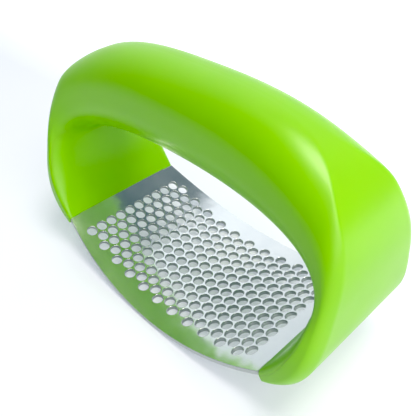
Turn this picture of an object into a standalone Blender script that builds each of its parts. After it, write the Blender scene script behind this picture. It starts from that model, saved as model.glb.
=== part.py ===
"""Rocker garlic press.

A perforated steel plate, bent to a shallow arc, is rocked over garlic cloves on a bench. A hollow plastic hoop
stands on its two ends as the handle. The hoop is an outer shell, a channel open towards the inside of the hoop,
closed by an inner liner. The narrow tangs at the plate's ends are held between the two.

X runs along the press, Y across it and Z up. Z = 0 is the bench, under the middle of the plate.
The press is the same on both sides of the planes X = 0 and Y = 0, apart from the staggered rows of holes.
"""

import math

import bmesh
import bpy
import numpy as np
from mathutils import Matrix, Vector

# All sizes are in metres.
FIT_GAP = 0.0003  # left open between pieces that touch
MERGE = 0.00001

# Steel plate, measured on the flat blank before it is bent
PLATE_THICKNESS = 0.0012
BEND_RADIUS = 0.0809  # of the upper, hollow face
MOUTH_ARC = 0.0418  # middle of the plate to the mouth of a leg, along the upper face
PLATE_HALF_WIDTH = 0.02515
PLATE_END_HALF_WIDTH = 0.0213
EDGE_STEPS = 8  # along a long edge, from the middle to a leg
LEVEL_HALF_LENGTH = 0.0013  # the strip that stands on the bench is left level

HOLE_PITCH = 0.0038
HOLE_DIAMETER = 0.0032
HOLE_ROWS = 22
HOLES_PER_ROW = 10
HOLE_SIDES = 12

TANG_LENGTH = 0.0050
TANG_HALF_WIDTH = 0.0175
TANG_CORNER = 0.0015
PEG_ARC = MOUTH_ARC + 0.0027
PEG_SPACING = 0.0110
PEGS_PER_LEG = 3
PEG_RADIUS = 0.0012
PEG_HOLE_RADIUS = 0.0016
PEG_DEPTH = 0.0028  # of a peg's foot under the upper face of the plate
PEG_SIDES = 12
SLOT_OVERCUT = 0.001  # past both ends of the tang
SILL_SETBACK = 0.0002  # from the mouth of a leg
SILL_LENGTH = 0.0010
SILL_DEPTH = 0.0028  # of its lower edge under the upper face of the plate, inside the shell's wall
BAR_STATIONS = 4

# Handle: side view of the hoop. Each profile is a superellipse above its widest level and another below it.
OUTER_HALF_LENGTH = 0.0530
OUTER_WIDEST_LEVEL = 0.0322
CROWN_LEVEL = 0.0680
OUTER_POWER = 2.80
OUTER_LEG_POWER = 3.15
INNER_HALF_LENGTH = 0.0474
INNER_WIDEST_LEVEL = 0.0332
INNER_CROWN_LEVEL = 0.0439
INNER_POWER = 2.04
INNER_LEG_POWER = 1.90
MOUTH_HEIGHT = 0.0039  # liner, tang and toe together, square to the plate

# Handle: cross-section of the hoop
CROWN_HALF_WIDTH = 0.0107
LEG_HALF_WIDTH = 0.0263
FOOT_HALF_WIDTH = 0.0216
WIDENING_POWER = 1.11
FOOT_SHARE = 0.48  # lowest part of the leg, where it draws in to the foot
EDGE_RADIUS = 0.0012  # of the inner corner at the foot
OUTER_ROUNDNESS = 0.96  # share of the crown's half-width taken by the outer corner, 1 is an ellipse
OUTER_LEG_SPREAD = 0.0072  # reach of the outer corner across the foot
OUTER_CORNER_SHARE = 0.40  # of the thickness
OUTER_SQUARING = 0.81  # how soon the corner narrows down the leg; lower is sooner
CREASE_ANGLE = math.radians(43.5)  # part of the outer corner cut off by the flat outer face of a leg
CREASE_START, CREASE_END = 0.02, 0.225  # shares of the way down between which that face comes in
INNER_ROUNDNESS = 0.85
INNER_CORNER_SHARE = 0.49  # of the thickness, at the crown
INNER_SQUARING = 2.06
WALL = 0.0016
LINER_THICKNESS = 0.0020
LINER_SHARE = 0.3  # most of the section's thickness that the liner takes, where the leg thins to the mouth

ARCH_STATIONS = 17
LEG_STATIONS = 12
OUTER_CORNER_STEPS = 6
INNER_CORNER_STEPS = 4
LINER_EDGE_STEPS = 6


# Scene helpers

def clear_scene():
    for item in list(bpy.data.objects):
        bpy.data.objects.remove(item)


def new_collection(name):
    collection = bpy.data.collections.new(name)
    bpy.context.scene.collection.children.link(collection)
    return collection


def new_material(name, colour, roughness, metallic):
    material = bpy.data.materials.new(name)
    material.use_nodes = True
    shader = material.node_tree.nodes["Principled BSDF"]
    shader.inputs["Base Color"].default_value = (*colour, 1.0)
    shader.inputs["Roughness"].default_value = roughness
    shader.inputs["Metallic"].default_value = metallic
    return material


def new_mesh_object(name, mesh, collection, material=None):
    item = bpy.data.objects.new(name, mesh)
    collection.objects.link(item)
    if material:
        mesh.materials.append(material)
        mesh.shade_smooth()
        mesh.set_sharp_from_angle(angle=math.radians(35))
    else:
        item.hide_render = True
        item.display_type = "WIRE"
    return item


def add_mirror(item, merge):
    """Completes a piece that is modelled on the +X side only."""
    mirror = item.modifiers.new("Other leg", "MIRROR")
    mirror.use_axis = (True, False, False)
    mirror.use_mirror_merge = merge
    mirror.merge_threshold = MERGE


def add_boolean(item, cutter, operation):
    boolean = item.modifiers.new(cutter.name, "BOOLEAN")
    boolean.object = cutter
    boolean.operation = operation
    boolean.solver = "EXACT"


# Steel plate

def bend(arc, across, depth):
    """Place of a point of the flat blank once it is bent. Depth is measured down from the upper face."""
    angle = arc / BEND_RADIUS
    radius = BEND_RADIUS + depth
    level = PLATE_THICKNESS + BEND_RADIUS - radius * math.cos(angle)
    if abs(arc) < LEVEL_HALF_LENGTH + MERGE:
        level = PLATE_THICKNESS - depth
    return Vector((radius * math.sin(angle), across, level))


def edge_half_width(arc):
    """The long edges bow outwards between the legs."""
    return PLATE_HALF_WIDTH - (PLATE_HALF_WIDTH - PLATE_END_HALF_WIDTH) * (arc / MOUTH_ARC) ** 2


def plate_outline():
    """Blank outline, anticlockwise: bowed edges, then shoulders that stop short of the legs, then tangs."""
    shoulder = MOUTH_ARC - FIT_GAP
    arcs = [LEVEL_HALF_LENGTH, *np.linspace(0, shoulder, EDGE_STEPS + 1)[1:]]
    near_edge = [(arc, -edge_half_width(arc)) for arc in arcs]
    tip = MOUTH_ARC + TANG_LENGTH
    tang = [
        (shoulder, -TANG_HALF_WIDTH),
        (tip - TANG_CORNER, -TANG_HALF_WIDTH),
        (tip, -TANG_HALF_WIDTH + TANG_CORNER),
    ]
    quarter = near_edge + tang
    right = quarter + [(arc, -across) for arc, across in reversed(quarter)]
    left = [(-arc, -across) for arc, across in right]
    return right + left


def ring_points(centre, radius, sides):
    """Regular polygon with the same area as the round hole it stands for."""
    step = 2 * math.pi / sides
    reach = radius * math.sqrt(step / math.sin(step))
    turns = [(k + 0.5) * step for k in range(sides)]
    return [(centre[0] + reach * math.cos(a), centre[1] + reach * math.sin(a)) for a in turns]


def press_hole_centres():
    """Rows run across the plate; every second row is shifted by half a pitch."""
    row_step = HOLE_PITCH * math.sqrt(3) / 2
    centres = []
    for row in range(HOLE_ROWS):
        shift = HOLE_PITCH / 4 if row % 2 else -HOLE_PITCH / 4
        for hole in range(HOLES_PER_ROW):
            across = (hole - (HOLES_PER_ROW - 1) / 2) * HOLE_PITCH + shift
            centres.append(((row - (HOLE_ROWS - 1) / 2) * row_step, across))
    return centres


def peg_offsets():
    return [(k - (PEGS_PER_LEG - 1) / 2) * PEG_SPACING for k in range(PEGS_PER_LEG)]


def blank_mesh():
    """The flat blank, with its holes, as a filled curve turned into a mesh."""
    blank = bpy.data.curves.new("blank", "CURVE")
    blank.dimensions = "2D"
    blank.fill_mode = "BOTH"
    blank.extrude = PLATE_THICKNESS / 2
    loops = [plate_outline()]
    loops += [ring_points(centre, HOLE_DIAMETER / 2, HOLE_SIDES) for centre in press_hole_centres()]
    for side in (-1, 1):
        loops += [ring_points((side * PEG_ARC, y), PEG_HOLE_RADIUS, HOLE_SIDES) for y in peg_offsets()]
    for loop in loops:
        spline = blank.splines.new("POLY")
        spline.points.add(len(loop) - 1)
        for point, place in zip(spline.points, loop):
            point.co = (*place, 0.0, 1.0)
        spline.use_cyclic_u = True
    carrier = bpy.data.objects.new("blank", blank)
    bpy.context.scene.collection.objects.link(carrier)
    evaluated = carrier.evaluated_get(bpy.context.evaluated_depsgraph_get())
    mesh = bpy.data.meshes.new_from_object(evaluated)
    bpy.data.objects.remove(carrier)
    return mesh


def even_triangles(bm):
    """Splits the faces into triangles, and turns the edges in the two flat faces so that these are well shaped."""
    bmesh.ops.triangulate(bm, faces=bm.faces)
    flat = {face for face in bm.faces if abs(face.normal.z) > 0.5}
    inside = [edge for edge in bm.edges if flat.issuperset(edge.link_faces)]
    bmesh.ops.beautify_fill(bm, faces=list(flat), edges=inside)


def build_plate(parts, steel):
    mesh = blank_mesh()
    bm = bmesh.new()
    bm.from_mesh(mesh)
    bmesh.ops.remove_doubles(bm, verts=bm.verts, dist=MERGE)
    even_triangles(bm)
    for end in (-LEVEL_HALF_LENGTH, LEVEL_HALF_LENGTH):
        bmesh.ops.bisect_plane(bm, geom=[*bm.verts, *bm.edges, *bm.faces], dist=MERGE,
                               plane_co=(end, 0.0, 0.0), plane_no=(1.0, 0.0, 0.0))
    even_triangles(bm)
    for vert in bm.verts:
        vert.co = bend(vert.co.x, vert.co.y, PLATE_THICKNESS / 2 - vert.co.z)
    bmesh.ops.recalc_face_normals(bm, faces=bm.faces)
    bm.to_mesh(mesh)
    bm.free()
    mesh.name = "press_plate"
    return new_mesh_object("press_plate", mesh, parts, steel)


# Handle: side view

def upper_quarter(half_length, widest, crown, power, t):
    """Point on a profile, from the crown at t = 0 to the widest level at t = 1, as (x, z)."""
    angle = (1 - t) * math.pi / 2
    x = half_length * math.cos(angle) ** (2 / power)
    z = widest + (crown - widest) * math.sin(angle) ** (2 / power)
    return x, z


def lower_quarter(half_length, widest, end, power, t):
    """Point on a profile, from the widest level at t = 0 to its end at t = 1, as (x, z)."""
    last = math.acos((end[0] / half_length) ** (power / 2))
    drop = (widest - end[1]) / math.sin(last) ** (2 / power)
    x = half_length * math.cos(t * last) ** (2 / power)
    z = widest - drop * math.sin(t * last) ** (2 / power)
    return x, z


def mouth_point(depth):
    """Point of the mouth, where a leg takes in the plate, at a depth under the plate's upper face."""
    place = bend(MOUTH_ARC, 0.0, depth)
    return place.x, place.z


def hoop_profiles(u):
    """Outer and inner point of the hoop at u: 0 is the crown, 1 the widest level, 2 the foot."""
    if u <= 1:
        outer = upper_quarter(OUTER_HALF_LENGTH, OUTER_WIDEST_LEVEL, CROWN_LEVEL, OUTER_POWER, u)
        inner = upper_quarter(INNER_HALF_LENGTH, INNER_WIDEST_LEVEL, INNER_CROWN_LEVEL, INNER_POWER, u)
    else:
        toe, lip = mouth_point(MOUTH_HEIGHT - FIT_GAP), mouth_point(-FIT_GAP)
        outer = lower_quarter(OUTER_HALF_LENGTH, OUTER_WIDEST_LEVEL, toe, OUTER_LEG_POWER, u - 1)
        inner = lower_quarter(INNER_HALF_LENGTH, INNER_WIDEST_LEVEL, lip, INNER_LEG_POWER, u - 1)
    return np.array(outer), np.array(inner)


def even_stations(first, last, count):
    """Values of u that divide the hoop's middle line between first and last into equal lengths."""
    dense = np.linspace(first, last, 400)
    middle = np.array([np.mean(hoop_profiles(u), axis=0) for u in dense])
    travelled = np.concatenate([[0], np.cumsum(np.linalg.norm(np.diff(middle, axis=0), axis=1))])
    return np.interp(np.linspace(0, travelled[-1], count), travelled, dense)


# Handle: cross-section

def smooth(share):
    return share * share * (3 - 2 * share)


def blend(start, end, share):
    return start + (end - start) * share


class Section:
    """Cross-section of the hoop: a rounded oblong in the plane through an outer and an inner profile point.

    A place in it is (depth, across): depth runs from the inner face of the hoop to the outer one.
    """

    def __init__(self, u):
        self.outer, self.inner = hoop_profiles(u)
        self.thickness = float(np.linalg.norm(self.outer - self.inner))
        top, bottom = (float(np.mean([p[1] for p in hoop_profiles(end)])) for end in (0, 2))
        level = float(self.outer[1] + self.inner[1]) / 2
        down = min(max((top - level) / (top - bottom), 0.0), 1.0)
        draw_in = max((down - 1 + FOOT_SHARE) / FOOT_SHARE, 0.0)
        self.half_width = blend(CROWN_HALF_WIDTH, LEG_HALF_WIDTH, down ** WIDENING_POWER)
        self.half_width -= (LEG_HALF_WIDTH - FOOT_HALF_WIDTH) * draw_in ** 2
        self.liner_depth = min(LINER_THICKNESS, LINER_SHARE * self.thickness)
        narrowing = smooth(down ** OUTER_SQUARING)
        spread = blend(OUTER_ROUNDNESS * self.half_width, OUTER_LEG_SPREAD, narrowing)
        self.outer_corner = (OUTER_CORNER_SHARE * self.thickness, spread)
        flattening = min(max((down - CREASE_START) / (CREASE_END - CREASE_START), 0.0), 1.0)
        self.crease = CREASE_ANGLE * smooth(flattening)
        squareness = smooth(down ** INNER_SQUARING)
        self.inner_corner = (
            blend(INNER_CORNER_SHARE * self.thickness, EDGE_RADIUS, squareness),
            blend(INNER_ROUNDNESS * self.half_width, EDGE_RADIUS, squareness),
        )

    def half_width_at(self, depth, inset=0.0):
        """Half-width of the section, or of the hollow inside a wall of thickness inset."""
        reach, spread = self.outer_corner
        into = (depth - (self.thickness - reach)) * math.cos(self.crease)
        if depth < self.inner_corner[0]:
            reach, spread = self.inner_corner
            into = reach - depth
        if into <= 0:
            return self.half_width - inset
        reach, spread_left = max(reach - inset, MERGE), spread - inset
        return self.half_width - spread + spread_left * math.sqrt(max(1 - (into / reach) ** 2, 0))

    def place(self, depth, across):
        x, z = self.inner + (self.outer - self.inner) * depth / self.thickness
        return Vector((x, across, z))


def outer_corner_points(section, inset, steps):
    """From the middle of the outer face, round its corner."""
    reach, spread = (max(size - inset, EDGE_RADIUS / 2) for size in section.outer_corner)
    half_width = section.half_width - inset
    depth = section.thickness - inset
    points = [(depth, 0.0)]
    for angle in np.linspace(section.crease, math.pi / 2, steps + 1):
        fall = reach * (1 - math.cos(angle) / math.cos(section.crease))
        points.append((depth - fall, half_width - spread * (1 - math.sin(angle))))
    return points


def side_points(section, inset, last_depth, steps):
    """Down the flank and into the inner corner, as far as last_depth."""
    first_depth = max(section.inner_corner[0], last_depth + 0.1 * (section.thickness - last_depth))
    depths = [blend(first_depth, last_depth, math.sin(a)) for a in np.linspace(0, math.pi / 2, steps + 1)]
    return [(depth, section.half_width_at(depth, inset)) for depth in depths]


def mirrored(points):
    return [(depth, -across) for depth, across in points]


def shell_ring(u):
    """Section of the outer shell: a channel whose two rims face the liner."""
    section = Section(u)
    rim = section.liner_depth + FIT_GAP
    skin = outer_corner_points(section, 0.0, OUTER_CORNER_STEPS) + side_points(section, 0.0, rim, INNER_CORNER_STEPS)
    hollow = outer_corner_points(section, WALL, OUTER_CORNER_STEPS)
    hollow += side_points(section, WALL, rim, INNER_CORNER_STEPS)
    loop = mirrored(skin[:0:-1]) + skin + hollow[::-1] + mirrored(hollow[1:])
    return [section.place(*point) for point in loop]


def liner_ring(u):
    """Section of the liner: the inner face of the hoop, closed by a flat face between the shell's rims."""
    section = Section(u)
    near = []
    for angle in np.linspace(0, math.pi / 2, LINER_EDGE_STEPS + 1):
        depth = section.liner_depth * (1 - math.sin(angle))
        near.append((depth, section.half_width_at(depth)))
    return [section.place(*point) for point in near + [(0.0, 0.0)] + mirrored(near[::-1])]


def loft(rings):
    """Skin through rings of equal length: open at the first ring, closed by a face at the last."""
    bm = bmesh.new()
    rows = [[bm.verts.new(place) for place in ring] for ring in rings]
    for row, following in zip(rows, rows[1:]):
        for k in range(len(row)):
            after = (k + 1) % len(row)
            bm.faces.new((row[k], row[after], following[after], following[k]))
    bm.faces.new(rows[-1])
    mesh = bpy.data.meshes.new("loft")
    bm.to_mesh(mesh)
    bm.free()
    return mesh


def stations():
    arch = even_stations(0, 1, ARCH_STATIONS)
    leg = even_stations(1, 2, LEG_STATIONS)
    return [*arch, *leg[1:]]


def bent_bar(name, cutters, arc_span, half_width, depth_span):
    """Closed bar across each leg that follows the plate's arc, between two depths under its upper face."""
    (top, bottom), across = depth_span, half_width
    corners = [(-across, top), (across, top), (across, bottom), (-across, bottom)]
    mesh = loft([[bend(arc, *corner) for corner in corners] for arc in np.linspace(*arc_span, BAR_STATIONS)])
    bm = bmesh.new()
    bm.from_mesh(mesh)
    bmesh.ops.holes_fill(bm, edges=bm.edges)
    bmesh.ops.recalc_face_normals(bm, faces=bm.faces)
    bm.to_mesh(mesh)
    bm.free()
    bar = new_mesh_object(name, mesh, cutters)
    add_mirror(bar, merge=False)
    return bar


def slot_cutter(cutters):
    """Room for a tang: everything under the plate's upper face, a little wider than the tang."""
    arc_span = (MOUTH_ARC - SLOT_OVERCUT, MOUTH_ARC + TANG_LENGTH + SLOT_OVERCUT)
    return bent_bar("tang_slot", cutters, arc_span, TANG_HALF_WIDTH + FIT_GAP, (-FIT_GAP, MOUTH_HEIGHT))


def mouth_sill(cutters):
    """Bar that closes a leg's hollow under the plate, just inside the mouth."""
    arc_span = (MOUTH_ARC + SILL_SETBACK, MOUTH_ARC + SILL_SETBACK + SILL_LENGTH)
    depth_span = (PLATE_THICKNESS + FIT_GAP, SILL_DEPTH)
    return bent_bar("mouth_sill", cutters, arc_span, FOOT_HALF_WIDTH - WALL / 2, depth_span)


def tang_pegs(cutters):
    """Pegs that stand on the floor of a leg and pass through the tang's holes."""
    bm = bmesh.new()
    foot, top = bend(PEG_ARC, 0.0, PEG_DEPTH), bend(PEG_ARC, 0.0, 0.0)
    upright = (top - foot).to_track_quat("Z", "X").to_matrix().to_4x4()
    for across in peg_offsets():
        centre = (foot + top) / 2 + Vector((0.0, across, 0.0))
        bmesh.ops.create_cone(bm, cap_ends=True, segments=PEG_SIDES, radius1=PEG_RADIUS, radius2=PEG_RADIUS,
                              depth=(top - foot).length, matrix=Matrix.Translation(centre) @ upright)
    mesh = bpy.data.meshes.new("tang_pegs")
    bm.to_mesh(mesh)
    bm.free()
    pegs = new_mesh_object("tang_pegs", mesh, cutters)
    add_mirror(pegs, merge=False)
    return pegs


def build_outer_shell(parts, cutters, plastic):
    shell = new_mesh_object("handle_outer_shell", loft([shell_ring(u) for u in stations()]), parts, plastic)
    add_mirror(shell, merge=True)
    add_boolean(shell, tang_pegs(cutters), "UNION")
    add_boolean(shell, mouth_sill(cutters), "UNION")
    return shell


def build_inner_liner(parts, cutters, plastic):
    liner = new_mesh_object("handle_inner_liner", loft([liner_ring(u) for u in stations()]), parts, plastic)
    add_mirror(liner, merge=True)
    add_boolean(liner, slot_cutter(cutters), "DIFFERENCE")
    return liner


def main():
    clear_scene()
    parts = new_collection("garlic_press")
    cutters = new_collection("cutters")
    steel = new_material("stainless_steel", (0.62, 0.64, 0.64), 0.25, 1.0)
    plastic = new_material("lime_green_plastic", (0.27, 0.80, 0.01), 0.30, 0.0)
    build_plate(parts, steel)
    build_outer_shell(parts, cutters, plastic)
    build_inner_liner(parts, cutters, plastic)


main()
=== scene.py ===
"""Looks of the rocker garlic press: a satin lime plastic hoop and a bright perforated steel plate.

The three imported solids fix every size. Each is stood for by a finer piece of the same shape: round holes
with softened rims, smooth mouldings, hairline joints and small edge radii. All sizes are in metres.
"""

import math

import bmesh
import bpy
import numpy as np
from mathutils import Matrix, Vector


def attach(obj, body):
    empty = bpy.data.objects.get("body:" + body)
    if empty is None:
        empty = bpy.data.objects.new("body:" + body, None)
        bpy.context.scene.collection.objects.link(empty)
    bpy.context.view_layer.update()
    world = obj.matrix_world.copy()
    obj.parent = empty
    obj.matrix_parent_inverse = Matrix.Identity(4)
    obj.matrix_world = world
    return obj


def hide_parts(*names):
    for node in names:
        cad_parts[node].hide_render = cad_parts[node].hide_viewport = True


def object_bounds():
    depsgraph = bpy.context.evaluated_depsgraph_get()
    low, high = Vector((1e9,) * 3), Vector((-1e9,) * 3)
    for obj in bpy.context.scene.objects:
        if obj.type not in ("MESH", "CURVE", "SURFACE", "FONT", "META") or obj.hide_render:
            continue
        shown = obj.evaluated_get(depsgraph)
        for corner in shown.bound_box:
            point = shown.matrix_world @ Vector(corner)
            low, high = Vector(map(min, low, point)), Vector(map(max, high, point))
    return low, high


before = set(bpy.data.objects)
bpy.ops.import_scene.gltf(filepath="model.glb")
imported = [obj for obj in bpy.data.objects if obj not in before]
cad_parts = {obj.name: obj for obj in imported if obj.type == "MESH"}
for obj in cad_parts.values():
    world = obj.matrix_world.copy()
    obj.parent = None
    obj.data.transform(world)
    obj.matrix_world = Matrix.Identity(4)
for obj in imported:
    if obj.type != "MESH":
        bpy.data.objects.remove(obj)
CAD_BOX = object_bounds()

MERGE = 0.000005
HAIRLINE = 0.00004  # joint between two pieces that touch

# Steel plate, measured on the flat blank before it is bent
PLATE_THICKNESS = 0.0012
BEND_RADIUS = 0.0809  # of the upper, hollow face
MOUTH_ARC = 0.0418  # middle of the plate to the mouth of a leg
PLATE_HALF_WIDTH = 0.02515
PLATE_END_HALF_WIDTH = 0.0213
EDGE_STEPS = 40
HOLE_PITCH = 0.0038
HOLE_DIAMETER = 0.0032
HOLE_ROWS = 22
HOLES_PER_ROW = 10
HOLE_SIDES = 28
RIM_RADIUS = 0.00014  # softened edges of the holes and of the outline
RIM_STEPS = 2
RIM_BAND = 0.0006  # strip inside the outline that holds all of its rim
TANG_LENGTH = 0.0050
TANG_HALF_WIDTH = 0.0175
TANG_CORNER = 0.0015
PEG_ARC = MOUTH_ARC + 0.0027
PEG_SPACING = 0.0110
PEGS_PER_LEG = 3
PEG_RADIUS = 0.0012
PEG_HOLE_RADIUS = 0.0016
PEG_DEPTH = 0.0028
PEG_SIDES = 24
SLOT_OVERCUT = 0.001  # past both ends of the tang
SILL_SETBACK = 0.0002  # from the mouth of a leg
SILL_LENGTH = 0.0010
SILL_DEPTH = 0.0028
BAR_STATIONS = 8

# Upright part of the normal of a face of the blank
FILL_COSINE = 0.999  # more than this in its flat filling
FLAT_COSINE = 0.97  # more than this on its rolled faces
WALL_COSINE = 0.3  # less than this on a wall

# Share of dull cut metal that a face of the plate shows; its dark colour is partly duller punched steel and
# partly painted shade on the walls of the holes and the outline. Its rolled faces show none.
HOLE_WALL_CUT_AND_SHADE = 1.0
HOLE_EDGE_CUT_AND_SHADE = 0.4
OUTLINE_WALL_CUT_AND_SHADE = 0.75
OUTLINE_EDGE_CUT_AND_SHADE = 0.0

# Handle: side view of the hoop
OUTER_HALF_LENGTH = 0.0530
OUTER_WIDEST_LEVEL = 0.0322
CROWN_LEVEL = 0.0680
OUTER_POWER = 2.80
OUTER_LEG_POWER = 3.15
INNER_HALF_LENGTH = 0.0474
INNER_WIDEST_LEVEL = 0.0332
INNER_CROWN_LEVEL = 0.0439
INNER_POWER = 2.04
INNER_LEG_POWER = 1.90
MOUTH_HEIGHT = 0.0039

# Handle: cross-section of the hoop
CROWN_HALF_WIDTH = 0.0107
LEG_HALF_WIDTH = 0.0263
FOOT_HALF_WIDTH = 0.0216
WIDENING_POWER = 1.11
FOOT_SHARE = 0.48
EDGE_RADIUS = 0.0012
OUTER_ROUNDNESS = 0.96
OUTER_LEG_SPREAD = 0.0072
OUTER_CORNER_SHARE = 0.40
OUTER_SQUARING = 0.81
CREASE_ANGLE = math.radians(43.5)
CREASE_START, CREASE_END = 0.02, 0.225
INNER_ROUNDNESS = 0.85
INNER_CORNER_SHARE = 0.49
INNER_SQUARING = 2.06
WALL = 0.0016
LINER_THICKNESS = 0.0020
LINER_SHARE = 0.3
CREASE_EASE = 0.0007  # half-width of the rounding along a crease
FOOT_EDGE = 0.00035  # radius round the end of a foot

# Fineness of the handle's skin
ARCH_STATIONS = 56
LEG_STATIONS = 44
FOOT_EDGE_STEPS = 4
CREASE_STEPS = 5
OUTER_CORNER_STEPS = 14
FLANK_STEPS = 12
LINER_EDGE_STEPS = 16
LENGTH_SAMPLES = 1200  # points used to measure the length of half a side of the hoop
SMOOTH_LIMIT = math.radians(40)  # sharper edges than this stay sharp

# Colours and roughness of the materials
LIME_SHADES = (0.212, 0.500, 0.004), (0.238, 0.546, 0.005)
LIME_SCATTER = (0.55, 1.0, 0.08)
LIME_ROUGHNESS = 0.28, 0.36
STEEL_SHADES = (0.68, 0.705, 0.745), (0.86, 0.855, 0.865)
STEEL_GRAIN = (0.58, 0.61, 0.62)
GRAIN_SHARE = 0.25
GRAIN_STRETCH = (260, 5200, 260)  # cycles per metre along X, Y and Z
STEEL_CUT_AND_SHADE = (0.37, 0.38, 0.38)
STEEL_ROUGHNESS = 0.08, 0.20
GRAIN_ROUGHNESS = -0.03, 0.04  # added by the grain
CUT_ROUGHNESS = 0.22  # added where the metal is cut
FLOOR_SHADES = (0.615, 0.635, 0.680), (0.630, 0.650, 0.695)
# Painted light: the floor glows, weaker on the near side and stronger on the far side, which lifts the
# shadows on it
FLOOR_GLOW = 0.38, 1.3  # near side, far side
FLOOR_GLOW_SPAN = 0.04, 0.15  # Y at which the glow starts and stops growing

# Studio
FLOOR_RADIUS = 3.0
FLOOR_SIDES = 96
# Brightness of the tent every 30 degrees, from the -X side through -Y, +X and +Y back to the -X side
TENT_ROUND = (0.75, 0.32, 0.16, 0.16, 0.45, 0.85, 0.70, 0.40, 0.50, 0.95, 1.08, 1.02, 0.75)
TENT_SCALE = 2.5  # keeps the stops of its colour ramp under 1
TENT_TINT = (0.93, 1.0, 1.03)
TENT_FOOT, TENT_RISE = 0.90, 0.40  # how its brightness grows from the floor upwards
OPENING_FACING = (0.13, 0.28, 0.95)
OPENING_EDGE = 0.895, 0.935  # cosines of the angle between the edge and the middle of the opening
OPENING_COLOUR = (0.11, 0.14, 0.18)
WARM = (1.0, 0.95, 0.88)
LIGHTS_AIM = Vector((0, 0, 0.03))
SOFTBOXES = (  # name, place, size, power
    ("overhead_softbox", (0.19, 0.07, 0.70), (0.27, 0.27), 2.8),
    ("right_softbox", (0.56, -0.12, 0.40), (0.52, 0.66), 3.0),
)
CAMERA_AZIMUTH = math.radians(47.75)
CAMERA_ELEVATION = math.radians(38.15)
CAMERA_ROLL = math.radians(2.65)
CAMERA_DISTANCE = 0.13829
CAMERA_LENS = 44.264
CAMERA_CLIP = 0.005, 20.0
SENSOR = 36.0
AIM = Vector((0.00404, -0.00166, 0.02877))
BLACK_LEVEL = (0.05, 0.02, 0.03)
WHITE_LEVEL = (1.0, 1.0, 1.0)


# Helpers

def smooth(share):
    return share * share * (3 - 2 * share)


def blend(start, end, share):
    return start + (end - start) * share


def clamp(share):
    return min(max(share, 0.0), 1.0)


def add_object(name, mesh):
    item = bpy.data.objects.new(name, mesh)
    bpy.context.scene.collection.objects.link(item)
    return item


# Steel plate

def bend(arc, across, depth):
    """Place of a point of the flat blank once it is bent. Depth is measured down from the upper face."""
    angle = arc / BEND_RADIUS
    radius = BEND_RADIUS + depth
    level = PLATE_THICKNESS + BEND_RADIUS - radius * math.cos(angle)
    return Vector((radius * math.sin(angle), across, level))


def edge_half_width(arc):
    return PLATE_HALF_WIDTH - (PLATE_HALF_WIDTH - PLATE_END_HALF_WIDTH) * (arc / MOUTH_ARC) ** 2


def plate_outline():
    """Blank outline, anticlockwise: bowed edges, then shoulders at the legs, then tangs."""
    shoulder = MOUTH_ARC - HAIRLINE
    near_edge = [(arc, -edge_half_width(arc)) for arc in np.linspace(0, shoulder, EDGE_STEPS + 1)[1:]]
    tip = MOUTH_ARC + TANG_LENGTH
    tang = [
        (shoulder, -TANG_HALF_WIDTH),
        (tip - TANG_CORNER, -TANG_HALF_WIDTH),
        (tip, -TANG_HALF_WIDTH + TANG_CORNER),
    ]
    quarter = near_edge + tang
    right = quarter + [(arc, -across) for arc, across in reversed(quarter)]
    return right + [(-arc, -across) for arc, across in right]


def ring_points(centre, radius, sides):
    turns = [(k + 0.5) * 2 * math.pi / sides for k in range(sides)]
    return [(centre[0] + radius * math.cos(a), centre[1] + radius * math.sin(a)) for a in turns]


def press_hole_centres():
    row_step = HOLE_PITCH * math.sqrt(3) / 2
    centres = []
    for row in range(HOLE_ROWS):
        shift = HOLE_PITCH / 4 if row % 2 else -HOLE_PITCH / 4
        for hole in range(HOLES_PER_ROW):
            across = (hole - (HOLES_PER_ROW - 1) / 2) * HOLE_PITCH + shift
            centres.append(((row - (HOLE_ROWS - 1) / 2) * row_step, across))
    return centres


def peg_offsets():
    return [(k - (PEGS_PER_LEG - 1) / 2) * PEG_SPACING for k in range(PEGS_PER_LEG)]


def blank_mesh():
    """The flat blank with softened edges, as a filled and bevelled curve turned into a mesh."""
    blank = bpy.data.curves.new("blank", "CURVE")
    blank.dimensions = "2D"
    blank.fill_mode = "BOTH"
    blank.extrude = PLATE_THICKNESS / 2 - RIM_RADIUS
    blank.bevel_depth = RIM_RADIUS
    blank.bevel_resolution = RIM_STEPS
    blank.offset = -RIM_RADIUS
    loops = [plate_outline()]
    loops += [ring_points(centre, HOLE_DIAMETER / 2, HOLE_SIDES) for centre in press_hole_centres()]
    for side in (-1, 1):
        loops += [ring_points((side * PEG_ARC, y), PEG_HOLE_RADIUS, HOLE_SIDES) for y in peg_offsets()]
    for loop in loops:
        spline = blank.splines.new("POLY")
        spline.points.add(len(loop) - 1)
        for point, place in zip(spline.points, loop):
            point.co = (*place, 0.0, 1.0)
        spline.use_cyclic_u = True
    carrier = bpy.data.objects.new("blank", blank)
    bpy.context.scene.collection.objects.link(carrier)
    evaluated = carrier.evaluated_get(bpy.context.evaluated_depsgraph_get())
    mesh = bpy.data.meshes.new_from_object(evaluated)
    bpy.data.objects.remove(carrier)
    return mesh


def cut_and_shade_share(face):
    """Share of cut metal that a face of the flat blank shows; its dark colour is partly painted shade on
    the walls.
    """
    arc, across, _ = face.calc_center_median()
    if abs(face.normal.z) > FLAT_COSINE:
        return 0.0
    softened = abs(face.normal.z) > WALL_COSINE
    if abs(arc) > MOUTH_ARC - RIM_BAND or abs(across) > edge_half_width(arc) - RIM_BAND:
        return OUTLINE_EDGE_CUT_AND_SHADE if softened else OUTLINE_WALL_CUT_AND_SHADE
    return HOLE_EDGE_CUT_AND_SHADE if softened else HOLE_WALL_CUT_AND_SHADE


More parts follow.
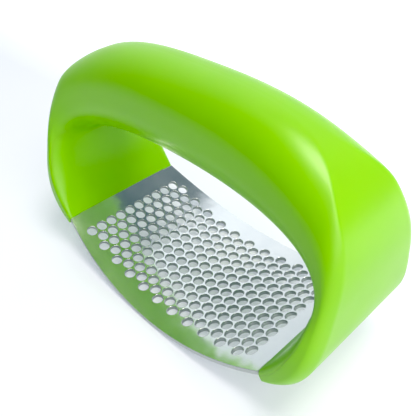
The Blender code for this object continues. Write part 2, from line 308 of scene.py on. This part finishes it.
def build_plate():
    mesh = blank_mesh()
    bm = bmesh.new()
    bm.from_mesh(mesh)
    bmesh.ops.remove_doubles(bm, verts=bm.verts, dist=MERGE)
    bmesh.ops.triangulate(bm, faces=[f for f in bm.faces if len(f.verts) > 4])
    flat = {f for f in bm.faces if abs(f.normal.z) > FILL_COSINE}
    inside = [e for e in bm.edges if flat.issuperset(e.link_faces)]
    bmesh.ops.beautify_fill(bm, faces=list(flat), edges=inside)
    bmesh.ops.recalc_face_normals(bm, faces=bm.faces)
    bm.normal_update()
    # Shares of dull cut metal, partly painted shade, on the walls of the holes and the outline
    cut_and_shade = [cut_and_shade_share(face) for face in bm.faces]
    level = PLATE_THICKNESS / 2 - MERGE
    normals = []
    for vert in bm.verts:
        upright = vert.normal.copy()
        if abs(vert.co.z) > level:
            upright = Vector((0, 0, math.copysign(1, vert.co.z)))
        normals.append(Matrix.Rotation(-vert.co.x / BEND_RADIUS, 3, "Y") @ upright)
        vert.co = bend(vert.co.x, vert.co.y, PLATE_THICKNESS / 2 - vert.co.z)
    for face in bm.faces:
        face.smooth = True
    bm.to_mesh(mesh)
    bm.free()
    mesh.attributes.new("cut_and_shade", "FLOAT", "FACE").data.foreach_set("value", cut_and_shade)
    mesh.normals_split_custom_set_from_vertices(normals)
    return add_object("plate", mesh)


# Handle: side view

def upper_quarter(half_length, widest, crown, power, t):
    angle = (1 - t) * math.pi / 2
    return (
        half_length * math.cos(angle) ** (2 / power),
        widest + (crown - widest) * math.sin(angle) ** (2 / power),
    )


def lower_quarter(half_length, widest, end, power, t):
    last = math.acos((end[0] / half_length) ** (power / 2))
    drop = (widest - end[1]) / math.sin(last) ** (2 / power)
    return (
        half_length * math.cos(t * last) ** (2 / power),
        widest - drop * math.sin(t * last) ** (2 / power),
    )


def mouth_point(depth):
    place = bend(MOUTH_ARC, 0.0, depth)
    return place.x, place.z


def hoop_profiles(u):
    """Outer and inner point of the hoop at u: 0 is the crown, 1 the widest level, 2 the foot."""
    if u <= 1:
        outer = upper_quarter(OUTER_HALF_LENGTH, OUTER_WIDEST_LEVEL, CROWN_LEVEL, OUTER_POWER, u)
        inner = upper_quarter(INNER_HALF_LENGTH, INNER_WIDEST_LEVEL, INNER_CROWN_LEVEL, INNER_POWER, u)
    else:
        toe, lip = mouth_point(MOUTH_HEIGHT - HAIRLINE), mouth_point(-HAIRLINE)
        outer = lower_quarter(OUTER_HALF_LENGTH, OUTER_WIDEST_LEVEL, toe, OUTER_LEG_POWER, u - 1)
        inner = lower_quarter(INNER_HALF_LENGTH, INNER_WIDEST_LEVEL, lip, INNER_LEG_POWER, u - 1)
    return np.array(outer), np.array(inner)


def along_hoop(first, last):
    """Dense values of u from first to last, and the length of the hoop's middle line up to each."""
    dense = np.linspace(first, last, LENGTH_SAMPLES)
    middle = np.array([np.mean(hoop_profiles(u), axis=0) for u in dense])
    steps = np.linalg.norm(np.diff(middle, axis=0), axis=1)
    return dense, np.concatenate([[0], np.cumsum(steps)])


def stations():
    """Values of u for the rings, with the inset of the skin that rounds the end of the foot."""
    dense, travelled = along_hoop(0, 1)
    arch = np.interp(np.linspace(0, travelled[-1], ARCH_STATIONS), travelled, dense)
    dense, travelled = along_hoop(1, 2)
    leg = np.interp(np.linspace(0, travelled[-1] - FOOT_EDGE, LEG_STATIONS), travelled, dense)
    rings = [(u, 0.0) for u in [*arch, *leg[1:]]]
    for angle in np.linspace(0, math.pi / 2, FOOT_EDGE_STEPS + 1)[1:]:
        place = travelled[-1] - FOOT_EDGE * (1 - math.sin(angle))
        rings.append((float(np.interp(place, travelled, dense)), FOOT_EDGE * (1 - math.cos(angle))))
    return rings


# Handle: cross-section

class Section:
    """Cross-section of the hoop. A place in it is (depth from the inner face, across)."""

    def __init__(self, u):
        self.outer, self.inner = hoop_profiles(u)
        self.thickness = float(np.linalg.norm(self.outer - self.inner))
        top, bottom = (float(np.mean([p[1] for p in hoop_profiles(end)])) for end in (0, 2))
        level = float(self.outer[1] + self.inner[1]) / 2
        down = clamp((top - level) / (top - bottom))
        draw_in = max((down - 1 + FOOT_SHARE) / FOOT_SHARE, 0.0)
        self.half_width = blend(CROWN_HALF_WIDTH, LEG_HALF_WIDTH, down ** WIDENING_POWER)
        self.half_width -= (LEG_HALF_WIDTH - FOOT_HALF_WIDTH) * draw_in ** 2
        self.liner_depth = min(LINER_THICKNESS, LINER_SHARE * self.thickness)
        narrowing = smooth(down ** OUTER_SQUARING)
        spread = blend(OUTER_ROUNDNESS * self.half_width, OUTER_LEG_SPREAD, narrowing)
        self.outer_corner = (OUTER_CORNER_SHARE * self.thickness, spread)
        flattening = clamp((down - CREASE_START) / (CREASE_END - CREASE_START))
        self.crease = CREASE_ANGLE * smooth(flattening)
        squareness = smooth(down ** INNER_SQUARING)
        self.inner_corner = (
            blend(INNER_CORNER_SHARE * self.thickness, EDGE_RADIUS, squareness),
            blend(INNER_ROUNDNESS * self.half_width, EDGE_RADIUS, squareness),
        )

    def half_width_at(self, depth, inset=0.0):
        reach, spread = self.outer_corner
        into = (depth - (self.thickness - reach)) * math.cos(self.crease)
        if depth < self.inner_corner[0]:
            reach, spread = self.inner_corner
            into = reach - depth
        if into <= 0:
            return self.half_width - inset
        reach, spread_left = max(reach - inset, MERGE), spread - inset
        return self.half_width - spread + spread_left * math.sqrt(max(1 - (into / reach) ** 2, 0))

    def place(self, depth, across):
        x, z = self.inner + (self.outer - self.inner) * depth / self.thickness
        return Vector((x, across, z))


def outer_corner_points(section, inset):
    """From the middle of the outer face, round its corner."""
    reach, spread = (max(size - inset, EDGE_RADIUS / 2) for size in section.outer_corner)
    half_width = section.half_width - inset
    depth = section.thickness - inset

    def on_corner(angle):
        fall = reach * (1 - math.cos(angle) / math.cos(section.crease))
        return np.array((depth - fall, half_width - spread * (1 - math.sin(angle))))

    crease = on_corner(section.crease)
    ease = min(CREASE_EASE, crease[1] / 2)
    first = section.crease + ease / spread
    before, after = crease - (0.0, ease), on_corner(first)
    points = [(depth, 0.0), (depth, before[1] / 2)]
    for t in np.linspace(0, 1, CREASE_STEPS + 1)[:-1]:
        points.append(tuple((1 - t) ** 2 * before + 2 * t * (1 - t) * crease + t * t * after))
    for angle in np.linspace(first, math.pi / 2, OUTER_CORNER_STEPS + 1):
        points.append(tuple(on_corner(angle)))
    return points


def side_points(section, inset, last_depth):
    """Down the flank and into the inner corner, as far as last_depth."""
    first_depth = max(section.inner_corner[0], last_depth + 0.1 * (section.thickness - last_depth))
    points = []
    for angle in np.linspace(0, math.pi / 2, FLANK_STEPS + 1):
        depth = blend(first_depth, last_depth, math.sin(angle))
        points.append((depth, section.half_width_at(depth, inset)))
    return points


def mirrored(points):
    return [(depth, -across) for depth, across in points]


def shell_ring(u, inset):
    """Section of the outer shell: a channel whose two rims face the liner."""
    section = Section(u)
    rim = section.liner_depth + HAIRLINE
    skin = outer_corner_points(section, inset) + side_points(section, inset, rim)
    hollow = outer_corner_points(section, WALL) + side_points(section, WALL, rim)
    loop = mirrored(skin[:0:-1]) + skin + hollow[::-1] + mirrored(hollow[1:])
    return [section.place(*point) for point in loop]


def liner_ring(u, inset):
    """Section of the liner: the inner face of the hoop, closed by a flat face between the shell's rims."""
    section = Section(u)
    near = []
    for angle in np.linspace(0, math.pi / 2, LINER_EDGE_STEPS + 1):
        depth = blend(section.liner_depth, inset, math.sin(angle))
        near.append((depth, section.half_width_at(depth) - inset))
    loop = near + [(inset, 0.0)] + mirrored(near[::-1])
    return [section.place(*point) for point in loop]


def loft(rings):
    """Skin through rings of equal length: open at the first ring, closed by a face at the last."""
    bm = bmesh.new()
    rows = [[bm.verts.new(place) for place in ring] for ring in rings]
    for row, following in zip(rows, rows[1:]):
        for k in range(len(row)):
            after = (k + 1) % len(row)
            bm.faces.new((row[k], row[after], following[after], following[k]))
    bm.faces.new(rows[-1])
    mesh = bpy.data.meshes.new("loft")
    bm.to_mesh(mesh)
    bm.free()
    return mesh


def bent_bar(arc_span, half_width, depth_span):
    """Closed bar that follows the plate's arc, between two depths under its upper face."""
    (top, bottom), across = depth_span, half_width
    corners = [(-across, top), (across, top), (across, bottom), (-across, bottom)]
    arcs = np.linspace(*arc_span, BAR_STATIONS)
    mesh = loft([[bend(arc, *corner) for corner in corners] for arc in arcs])
    bm = bmesh.new()
    bm.from_mesh(mesh)
    bmesh.ops.holes_fill(bm, edges=bm.edges)
    bmesh.ops.recalc_face_normals(bm, faces=bm.faces)
    bm.to_mesh(mesh)
    bm.free()
    return mesh


def slot_cutter():
    """Room for a tang: everything under the plate's upper face, a little wider than the tang."""
    arc_span = (MOUTH_ARC - SLOT_OVERCUT, MOUTH_ARC + TANG_LENGTH + SLOT_OVERCUT)
    return bent_bar(arc_span, TANG_HALF_WIDTH + HAIRLINE, (-HAIRLINE, MOUTH_HEIGHT))


def mouth_sill():
    """Bar that closes a leg's hollow under the plate, just inside the mouth."""
    arc_span = (MOUTH_ARC + SILL_SETBACK, MOUTH_ARC + SILL_SETBACK + SILL_LENGTH)
    return bent_bar(arc_span, FOOT_HALF_WIDTH - WALL / 2, (PLATE_THICKNESS + HAIRLINE, SILL_DEPTH))


def tang_pegs():
    bm = bmesh.new()
    foot, top = bend(PEG_ARC, 0.0, PEG_DEPTH), bend(PEG_ARC, 0.0, 0.0)
    upright = (top - foot).to_track_quat("Z", "X").to_matrix().to_4x4()
    for across in peg_offsets():
        centre = (foot + top) / 2 + Vector((0.0, across, 0.0))
        bmesh.ops.create_cone(bm, cap_ends=True, segments=PEG_SIDES, radius1=PEG_RADIUS, radius2=PEG_RADIUS,
                              depth=(top - foot).length, matrix=Matrix.Translation(centre) @ upright)
    mesh = bpy.data.meshes.new("tang_pegs")
    bm.to_mesh(mesh)
    bm.free()
    return mesh


def add_mirror(item, merge):
    mirror = item.modifiers.new("Other leg", "MIRROR")
    mirror.use_axis = (True, False, False)
    mirror.use_mirror_merge = merge
    mirror.merge_threshold = MERGE


def build_moulding(name, ring, cutters, operation):
    """Half a hoop lofted from the crown to a foot, mirrored, then joined with or cut by other meshes."""
    item = add_object(name, loft([ring(*station) for station in stations()]))
    add_mirror(item, merge=True)
    helpers = [add_object(name + "_cutter", mesh) for mesh in cutters]
    for helper in helpers:
        add_mirror(helper, merge=False)
        boolean = item.modifiers.new("cutter", "BOOLEAN")
        boolean.object, boolean.operation, boolean.solver = helper, operation, "EXACT"
    mesh = bpy.data.meshes.new_from_object(item.evaluated_get(bpy.context.evaluated_depsgraph_get()))
    for helper in helpers:
        bpy.data.objects.remove(helper)
    item.modifiers.clear()
    item.data = mesh
    mesh.shade_smooth()
    mesh.set_sharp_from_angle(angle=SMOOTH_LIMIT)
    return item


# Materials

class Nodes:
    """Short ways to add nodes in front of the shader of a material or of the world."""

    def __init__(self, owner, shader="Principled BSDF"):
        owner.use_nodes = True
        self.owner = owner
        self.tree = owner.node_tree
        self.shader = self.tree.nodes[shader]
        self.coordinates = self.add("ShaderNodeTexCoord").outputs

    def add(self, kind, links=None, **settings):
        node = self.tree.nodes.new(kind)
        for key, value in settings.items():
            setattr(node, key, value)
        for socket, source in (links or {}).items():
            if isinstance(source, bpy.types.NodeSocket):
                self.tree.links.new(source, node.inputs[socket])
            else:
                node.inputs[socket].default_value = source
        return node

    def noise(self, scale, detail=2.0, roughness=0.5, stretch=(1, 1, 1)):
        """Noise in object space; scale is in cycles per metre."""
        mapped = self.add("ShaderNodeMapping", {"Vector": self.coordinates["Object"], "Scale": stretch})
        links = {"Vector": mapped.outputs[0], "Scale": scale, "Detail": detail, "Roughness": roughness}
        return self.add("ShaderNodeTexNoise", links).outputs[0]

    def remap(self, source, span=(0.0, 1.0), result=(0.0, 1.0), kind="LINEAR"):
        links = {"Value": source}
        links["From Min"], links["From Max"] = span
        links["To Min"], links["To Max"] = result
        return self.add("ShaderNodeMapRange", links, interpolation_type=kind).outputs[0]

    def mix_colour(self, share, first, second):
        """Blend of two colours, each a socket or red, green and blue."""
        node = self.add("ShaderNodeMix", {0: share}, data_type="RGBA")
        places = [socket for socket in node.inputs if socket.type == "RGBA"]
        for place, source in zip(places, (first, second)):
            if isinstance(source, bpy.types.NodeSocket):
                self.tree.links.new(source, place)
            else:
                place.default_value = (*source, 1.0)
        return next(socket for socket in node.outputs if socket.type == "RGBA")

    def maths(self, operation, *values):
        return self.add("ShaderNodeMath", dict(enumerate(values)), operation=operation).outputs[0]

    def vector_maths(self, operation, *values):
        return self.add("ShaderNodeVectorMath", dict(enumerate(values)), operation=operation).outputs

    def bump(self, height, strength, distance, below=None):
        links = {"Height": height, "Strength": strength, "Distance": distance}
        if below is not None:
            links["Normal"] = below
        return self.add("ShaderNodeBump", links).outputs[0]

    def drive(self, socket, source):
        self.tree.links.new(source, self.shader.inputs[socket])

    def fix(self, **values):
        for socket, value in values.items():
            self.shader.inputs[socket.replace("_", " ")].default_value = value


def lime_plastic():
    n = Nodes(bpy.data.materials.new("lime_plastic"))
    n.fix(IOR=1.50, Subsurface_Weight=0.30, Subsurface_Scale=0.0015, Subsurface_Radius=LIME_SCATTER)
    cloud, smudge, wave = (n.noise(scale, detail=1) for scale in (60, 110, 210))
    n.drive("Base Color", n.mix_colour(cloud, *LIME_SHADES))
    n.drive("Roughness", n.remap(smudge, result=LIME_ROUGHNESS))
    n.drive("Normal", n.bump(wave, strength=0.04, distance=0.0003))
    return n.owner


def rolled_steel():
    n = Nodes(bpy.data.materials.new("rolled_steel"))
    n.fix(Metallic=0.88)
    grain = n.noise(1.0, detail=4, roughness=0.6, stretch=GRAIN_STRETCH)
    cloud = n.noise(130, detail=4, roughness=0.6)
    wave = n.noise(170, detail=1)
    cut_and_shade = n.add("ShaderNodeAttribute", attribute_name="cut_and_shade").outputs["Fac"]
    rolled = n.mix_colour(cloud, *STEEL_SHADES)
    rolled = n.mix_colour(n.maths("MULTIPLY", grain, GRAIN_SHARE), rolled, STEEL_GRAIN)
    # Cut faces get a darker steel: partly real punched metal, partly painted shade on the walls of the
    # holes and the outline
    n.drive("Base Color", n.mix_colour(cut_and_shade, rolled, STEEL_CUT_AND_SHADE))
    rough = n.maths("ADD", n.remap(cloud, result=STEEL_ROUGHNESS), n.remap(grain, result=GRAIN_ROUGHNESS))
    n.drive("Roughness", n.maths("ADD", rough, n.maths("MULTIPLY", cut_and_shade, CUT_ROUGHNESS)))
    wavy = n.bump(wave, strength=0.16, distance=0.0005)
    n.drive("Normal", n.bump(grain, strength=0.10, distance=0.00003, below=wavy))
    return n.owner


def glowing_floor():
    n = Nodes(bpy.data.materials.new("glowing_floor"))
    n.fix(Roughness=0.55, IOR=1.4)
    white = n.mix_colour(n.noise(30, detail=3), *FLOOR_SHADES)
    n.drive("Base Color", white)
    beyond = n.add("ShaderNodeSeparateXYZ", {0: n.coordinates["Object"]}).outputs["Y"]
    # Painted light: the floor's glow grows towards the far side and lifts the shadows on the floor
    n.drive("Emission Strength", n.remap(beyond, FLOOR_GLOW_SPAN, FLOOR_GLOW))
    n.drive("Emission Color", white)
    return n.owner


# Studio

def build_camera():
    data = bpy.data.cameras.new("camera")
    data.sensor_width = SENSOR
    data.lens = CAMERA_LENS
    data.clip_start, data.clip_end = CAMERA_CLIP
    camera = bpy.data.objects.new("camera", data)
    bpy.context.scene.collection.objects.link(camera)
    level_back = Vector((math.sin(CAMERA_AZIMUTH), -math.cos(CAMERA_AZIMUTH), 0.0))
    back = level_back * math.cos(CAMERA_ELEVATION) + Vector((0, 0, math.sin(CAMERA_ELEVATION)))
    right = (-back).cross(Vector((0, 0, 1))).normalized()
    up = back.cross(right)
    rolled_right = math.cos(CAMERA_ROLL) * right - math.sin(CAMERA_ROLL) * up
    rolled_up = math.sin(CAMERA_ROLL) * right + math.cos(CAMERA_ROLL) * up
    turn = Matrix((rolled_right, rolled_up, back)).transposed()
    camera.matrix_world = Matrix.Translation(AIM + back * CAMERA_DISTANCE) @ turn.to_4x4()
    bpy.context.scene.camera = camera


def build_floor():
    bm = bmesh.new()
    bmesh.ops.create_circle(bm, cap_ends=True, segments=FLOOR_SIDES, radius=FLOOR_RADIUS)
    mesh = bpy.data.meshes.new("floor")
    bm.to_mesh(mesh)
    bm.free()
    floor = add_object("floor", mesh)
    floor.location.z = CAD_BOX[0].z
    mesh.materials.append(glowing_floor())


def build_softbox(name, place, size, power):
    data = bpy.data.lights.new(name, "AREA")
    data.shape = "RECTANGLE"
    data.size, data.size_y = size
    data.energy = power
    data.color = WARM
    light = bpy.data.objects.new(name, data)
    bpy.context.scene.collection.objects.link(light)
    light.location = place
    light.rotation_euler = (LIGHTS_AIM - Vector(place)).to_track_quat("-Z", "Y").to_euler()


def build_world():
    """A pale tent, its brightness going round the compass, with a dark opening overhead."""
    world = bpy.data.worlds.new("studio")
    bpy.context.scene.world = world
    n = Nodes(world, "Background")
    direction = n.coordinates["Generated"]
    parts = n.add("ShaderNodeSeparateXYZ", {0: direction}).outputs
    bearing = n.maths("ARCTAN2", parts["Y"], parts["X"])
    tent = n.add("ShaderNodeValToRGB", {"Fac": n.remap(bearing, (-math.pi, math.pi))})
    stops = tent.color_ramp.elements
    for where in np.linspace(0, 1, len(TENT_ROUND))[1:-1]:
        stops.new(where)
    for stop, brightness in zip(stops, TENT_ROUND):
        stop.color = (*(brightness * tint / TENT_SCALE for tint in TENT_TINT), 1.0)
    rise = n.maths("MULTIPLY_ADD", parts["Z"], TENT_RISE, TENT_FOOT)
    risen = n.vector_maths("MULTIPLY", tent.outputs["Color"], rise)["Vector"]
    nearness = n.vector_maths("DOT_PRODUCT", direction, Vector(OPENING_FACING).normalized())["Value"]
    opening = n.remap(nearness, OPENING_EDGE, kind="SMOOTHSTEP")
    dark = tuple(level / TENT_SCALE for level in OPENING_COLOUR)
    n.drive("Color", n.mix_colour(opening, risen, dark))
    n.fix(Strength=TENT_SCALE)


def set_tones():
    view = bpy.context.scene.view_settings
    view.view_transform = "Standard"
    view.use_curve_mapping = True
    view.curve_mapping.black_level = BLACK_LEVEL
    view.curve_mapping.white_level = WHITE_LEVEL


build_camera()
build_floor()
build_world()
for softbox in SOFTBOXES:
    build_softbox(*softbox)
set_tones()

plate = build_plate()
plate.data.materials.clear()
plate.data.materials.append(rolled_steel())
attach(plate, "root")
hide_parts("press_plate")

lime = lime_plastic()
shell = build_moulding("shell", shell_ring, [tang_pegs(), mouth_sill()], "UNION")
liner = build_moulding("liner", liner_ring, [slot_cutter()], "DIFFERENCE")
for piece, node in ((shell, "handle_outer_shell"), (liner, "handle_inner_liner")):
    piece.data.materials.clear()
    piece.data.materials.append(lime)
    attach(piece, "root")
    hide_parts(node)
